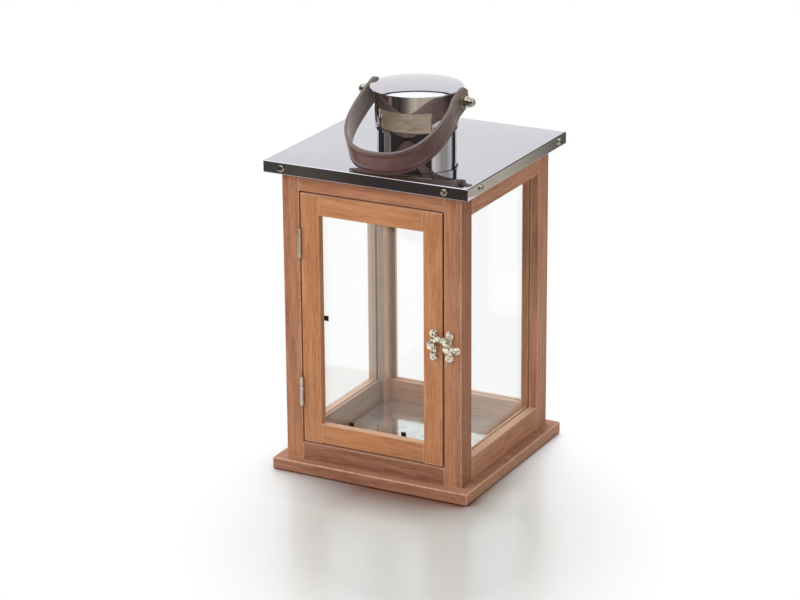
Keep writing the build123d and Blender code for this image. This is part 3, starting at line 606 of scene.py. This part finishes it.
def leather_strap():
    """The carrying strap: its sheet with a thickness, soft edges and a finish for each side and the edge."""
    strap = into_scene(strap_sheet(), "leather_strap")
    for finish in (grain_leather("strap_grain_side"), flesh_leather("strap_flesh_side"),
                   cut_leather("strap_cut_edge")):
        strap.data.materials.append(finish)
    wall = strap.modifiers.new("thickness", "SOLIDIFY")
    wall.thickness = STRAP_THICK
    wall.offset = -1.0
    wall.material_offset = 1
    wall.material_offset_rim = 2
    soften = strap.modifiers.new("soft_edges", "BEVEL")
    soften.width = STRAP_EDGE_ROUND
    soften.segments = 2
    soften.limit_method = "ANGLE"
    soften.angle_limit = STRAP_EDGE_TURN
    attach(strap, "handle")
    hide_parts("handle_strap")


leather_strap()


# The finish of every piece that comes from CAD

finishes = {
    "steel": polished_steel("polished_chimney_sheet", flue=True),
    "roof": polished_steel("polished_roof_sheet", crowned=True),
    "bright": plain_metal("bright_plated_fittings", tone(146, 143, 131), tone(190, 186, 172), 0.10),
    "plain": plain_metal("plain_steel_fittings", tone(196, 188, 174), tone(230, 224, 210), 0.30),
    "casting": worn_casting("worn_latch_casting", tone(96, 84, 66), tone(250, 242, 222)),
    "zinc": zinc_sheet("zinc_coated_sheet"),
    "dark": plain_metal("dark_clip_steel", tone(34, 28, 25), tone(62, 52, 46), 0.45),
    "glass": clear_glass("clear_sheet_glass"),
}
FINISH_OF_SLOT = {"polished_steel": "steel", "bright_fittings": "bright", "plain_steel": "plain",
                  "latch_metal": "casting", "zinc_sheet": "zinc", "dark_clips": "dark", "glass": "glass"}
slot_of_node = {row["node"]: row["material_slot"] for row in frame["record"]["subparts"]}
for shift, (name, piece) in enumerate(sorted(nodes.items())):
    if name in WOODEN:
        along, stain = WOODEN[name]
        piece.data.materials[0] = stained_wood(f"{name}_wood", along, stain, shift, ODD_FACES.get(name, []))
    elif name == "roof_cover":
        piece.data.materials[0] = finishes["roof"]
    elif slot_of_node[name] in FINISH_OF_SLOT:
        piece.data.materials[0] = finishes[FINISH_OF_SLOT[slot_of_node[name]]]


# Camera: the photograph's own view

VIEW_TURN = radians(27.805)
VIEW_RISE = radians(19.220)
VIEW_ROLL = radians(-0.414)
VIEW_LENS = 131.13
VIEW_SENSOR = 36.0
VIEW_FAR = 50
VIEW_PLACE = Vector((1.05083, -2.02418, 0.92914))

away = Vector((sin(VIEW_TURN) * cos(VIEW_RISE), -cos(VIEW_TURN) * cos(VIEW_RISE), sin(VIEW_RISE)))
right = Vector((cos(VIEW_TURN), sin(VIEW_TURN), 0))
up = away.cross(right)
rolled_right = right * cos(VIEW_ROLL) + up * sin(VIEW_ROLL)
rolled_up = up * cos(VIEW_ROLL) - right * sin(VIEW_ROLL)
camera_data = bpy.data.cameras.new("photo_view")
camera_data.lens = VIEW_LENS
camera_data.sensor_width = VIEW_SENSOR
camera_data.sensor_fit = "HORIZONTAL"
camera_data.clip_end = VIEW_FAR
camera = bpy.data.objects.new("photo_view", camera_data)
view_axes = Matrix((rolled_right, rolled_up, away)).transposed().to_4x4()
camera.matrix_world = Matrix.Translation(VIEW_PLACE) @ view_axes
bpy.context.scene.collection.objects.link(camera)
bpy.context.scene.camera = camera


# Studio: pale table, soft world light and two soft lamps

TABLE_HALF = (0.69, 0.46)
TABLE_MIDDLE = (0.03, 0.01)
TABLE_LEVEL = -0.2 * MM
TABLE_TONES = (tone(219, 223, 221), tone(225, 229, 227))
# The shaded part of the table, in front of the object: its middle and its half width and depth
SHADE_MIDDLE = (0.087, -0.159)
SHADE_HALF = (0.190, 0.260)
SHADE_FADE = (0.45, 1.0)
# The painted contact shadow on the table close to the object, brown in front as a painted reflection of the
# base: its reach, its tones, and where the front's tone takes over
CONTACT_REACH = 0.07
CONTACT_SHADOW_BESIDE = tone(146, 126, 110)
CONTACT_SHADOW_AND_REFLECTION_BEFORE = tone(104, 56, 32)
CONTACT_FRONT = (-62 * MM, -90 * MM)
# How open the table is to the room, from where each tone is full to where it is gone
BESIDE_FADE = (0.42, 0.88)
BEFORE_FADE = (0.62, 1.0)
WHITE_FADE = (0.45, 0.80)


def studio_floor():
    """A pale glossy table top: white like the background, but for the shaded part by the object and a painted
    contact shadow at its foot.
    """
    shape = bmesh.new()
    bmesh.ops.create_grid(shape, x_segments=1, y_segments=1, size=1.0)
    bmesh.ops.scale(shape, vec=(*TABLE_HALF, 1), verts=shape.verts)
    bmesh.ops.translate(shape, vec=(*TABLE_MIDDLE, TABLE_LEVEL), verts=shape.verts)
    bmesh.ops.rotate(shape, cent=(0, 0, 0), matrix=Matrix.Rotation(VIEW_TURN, 3, "Z"), verts=shape.verts)
    floor = into_scene(shape, "studio_floor")

    material, tree, surface = fresh_material("pale_table_top")
    even = object_coordinates(tree)
    cloud = noise(tree, even, 9, 3.0, 0.5)
    colour = blend_colour(tree, cloud, *TABLE_TONES)
    # Painted contact shadow: darker where the object hems the table in, brown in front as a painted
    # reflection
    close = add(tree, "ShaderNodeAmbientOcclusion", {"Distance": CONTACT_REACH}, samples=12).outputs["AO"]
    in_front = span(tree, separate(tree, even)["Y"], *CONTACT_FRONT)
    beside = blend_colour(tree, span(tree, close, *BESIDE_FADE), CONTACT_SHADOW_BESIDE, colour)
    before = blend_colour(tree, span(tree, close, *BEFORE_FADE), CONTACT_SHADOW_AND_REFLECTION_BEFORE, colour)
    colour = blend_colour(tree, in_front, beside, before)
    wire(tree, surface, Base_Color=colour, Roughness=0.26, Specular_IOR_Level=0.9, Coat_Weight=0.5,
         Coat_IOR=1.7, Coat_Roughness=0.20)
    shade = add(tree, "ShaderNodeMapping", {"Vector": even, "Location": (*SHADE_MIDDLE, 0),
                                            "Rotation": (0, 0, VIEW_TURN), "Scale": (*SHADE_HALF, 1)},
                vector_type="TEXTURE").outputs["Vector"]
    reach = add(tree, "ShaderNodeVectorMath", {0: shade}, operation="LENGTH").outputs["Value"]
    path = add(tree, "ShaderNodeLightPath").outputs
    mirrored = math_node(tree, "MAXIMUM", path["Is Camera Ray"], path["Is Glossy Ray"])
    gone = math_node(tree, "MULTIPLY", span(tree, reach, *SHADE_FADE), mirrored)
    gone = math_node(tree, "MULTIPLY", gone, span(tree, close, *WHITE_FADE))
    white = add(tree, "ShaderNodeEmission", {"Color": (1, 1, 1, 1), "Strength": 1.0})
    top = add(tree, "ShaderNodeMixShader", {0: gone, 1: surface.outputs[0], 2: white.outputs[0]})
    tree.links.new(top.outputs[0], tree.nodes["Material Output"].inputs["Surface"])
    floor.data.materials.append(material)


LAMP_AIM = Vector((0, 0, 0.15))


def soft_lamp(name, place, size, power):
    """A square soft lamp aimed at the object."""
    data = bpy.data.lights.new(name, "AREA")
    data.shape = "SQUARE"
    data.size = size
    data.energy = power
    lamp = bpy.data.objects.new(name, data)
    aim = LAMP_AIM - Vector(place)
    lamp.matrix_world = Matrix.Translation(place) @ aim.to_track_quat("-Z", "Y").to_matrix().to_4x4()
    lamp.visible_glossy = False
    bpy.context.scene.collection.objects.link(lamp)


def by_bearing(rows):
    """Rows of (degrees, colour) on a ramp that runs once round the room, with the camera in its middle."""
    return [((degrees + 180) / 360, colour) for degrees, colour in rows]


WHITE_WALL = (1.0, 1.0, 1.0)
CEILING = (1.6, 1.6, 1.6)
OVERHEAD = (0.60, 0.61, 0.63)
GAP = (0.05, 0.05, 0.055)
DARK = (0.062, 0.048, 0.044)
SOOT = (0.10, 0.10, 0.10)
UMBER = (0.30, 0.25, 0.20)
OLIVE = (0.13, 0.125, 0.095)
PINK = (0.30, 0.20, 0.19)
MOSS = (0.36, 0.35, 0.30)
LINEN = (0.5, 0.5, 0.48)
PLASTER = (0.6, 0.58, 0.52)
STRAW = (0.60, 0.54, 0.42)
BEIGE = (0.60, 0.52, 0.41)
# What lies below the table's level, from the left behind the object, past the camera, to the right behind
LOW_ROOM = [
    (-180, SOOT), (-142, SOOT), (-138, LINEN), (-131, LINEN), (-126, DARK), (-86, DARK), (-82, PINK),
    (-74, PINK), (-70, DARK), (-58.2, DARK), (-58.0, OLIVE), (-57.7, OLIVE), (-57.4, DARK), (-48, DARK),
    (-38, (0.12, 0.10, 0.095)), (-26, (0.28, 0.235, 0.165)), (-15, BEIGE), (-4, (0.76, 0.67, 0.56)),
    (7, BEIGE), (18, (0.67, 0.57, 0.46)), (40, BEIGE), (48, (0.75, 0.72, 0.66)), (64, (0.75, 0.73, 0.68)),
    (70, MOSS), (108, MOSS), (112, STRAW), (127.1, STRAW), (127.6, GAP),
]
# What lies above it on the camera's side
HIGH_ROOM = [
    (-180, WHITE_WALL), (-150, WHITE_WALL), (-146, GAP), (-110, GAP), (-107, PLASTER), (-104, UMBER),
    (-86, UMBER), (-84, PLASTER), (-80, DARK), (41, DARK), (46, (1.35, 1.30, 1.18)), (58, (1.0, 0.96, 0.86)),
    (75, (0.62, 0.58, 0.50)), (95, (0.60, 0.56, 0.48)), (106, (0.9, 0.87, 0.78)), (117, (1.0, 0.97, 0.90)),
    (122, GAP), (150, GAP), (154, WHITE_WALL), (180, WHITE_WALL),
]
# The wall behind the object by height: white, a dark joint, then a white ceiling
BACK_WALL = [(0.0, WHITE_WALL), (0.45, (0.97, 0.97, 0.97)), (0.458, GAP), (0.474, GAP), (0.482, CEILING)]
# Where the parts of the room meet: the back wall by depth, the others by height
BACK_FROM = (0.78, 0.80)
CEILING_FROM = (0.55, 0.65)
OVERHEAD_FROM = (0.88, 0.97)
TABLE_LINE = (-0.14, -0.08)
# The soft light's strength from the camera to the back and from left to right, and its tint
SOFT_LIGHT = (0.60, 1.0)
SOFT_SIDES = (1.14, 0.80)
SOFT_TINT = (1.0, 0.99, 0.98, 1)


def studio_world():
    """White to the camera, even soft light on matt surfaces, and a studio room for metal to mirror."""
    world = bpy.data.worlds.new("studio_room")
    world.use_nodes = True
    tree = world.node_tree
    tree.nodes.clear()
    toward = add(tree, "ShaderNodeTexCoord").outputs["Generated"]
    height = separate(tree, toward)["Z"]
    depth = dot(tree, toward, (-sin(VIEW_TURN), cos(VIEW_TURN), 0))
    side = dot(tree, toward, (cos(VIEW_TURN), sin(VIEW_TURN), 0))
    bearing = math_node(tree, "ARCTAN2", side, math_node(tree, "MULTIPLY", depth, -1.0))
    round_room = span(tree, bearing, -pi, pi)

    low = colour_bands(tree, round_room, by_bearing(LOW_ROOM))
    high = colour_bands(tree, round_room, by_bearing(HIGH_ROOM))
    wall = colour_bands(tree, height, BACK_WALL)
    upper = blend_colour(tree, span(tree, depth, *BACK_FROM), high, wall)
    upper = blend_colour(tree, span(tree, height, *CEILING_FROM), upper, (*CEILING, 1))
    upper = blend_colour(tree, span(tree, height, *OVERHEAD_FROM), upper, (*OVERHEAD, 1))
    mirrored = blend_colour(tree, span(tree, height, *TABLE_LINE), low, upper)

    path = add(tree, "ShaderNodeLightPath").outputs
    white = add(tree, "ShaderNodeBackground", {"Color": (1, 1, 1, 1), "Strength": 1.0})
    strength = math_node(tree, "MULTIPLY", span(tree, depth, -1, 1, *SOFT_LIGHT),
                         span(tree, side, -1, 1, *SOFT_SIDES))
    soft = add(tree, "ShaderNodeBackground", {"Color": SOFT_TINT, "Strength": strength})
    shiny = add(tree, "ShaderNodeBackground", {"Color": mirrored, "Strength": 1.0})
    lit = add(tree, "ShaderNodeMixShader",
              {0: path["Is Glossy Ray"], 1: soft.outputs[0], 2: shiny.outputs[0]})
    plain = math_node(tree, "MAXIMUM", path["Is Camera Ray"], path["Is Transmission Ray"])
    seen = add(tree, "ShaderNodeMixShader", {0: plain, 1: lit.outputs[0], 2: white.outputs[0]})
    output = add(tree, "ShaderNodeOutputWorld")
    tree.links.new(seen.outputs[0], output.inputs["Surface"])
    bpy.context.scene.world = world


studio_floor()
studio_world()
soft_lamp("key_lamp", place=(-0.7, -1.7, 1.3), size=1.0, power=17)
soft_lamp("back_lamp", place=(-0.7, 1.4, 1.5), size=1.2, power=14)
bpy.context.scene.view_settings.view_transform = "Standard"
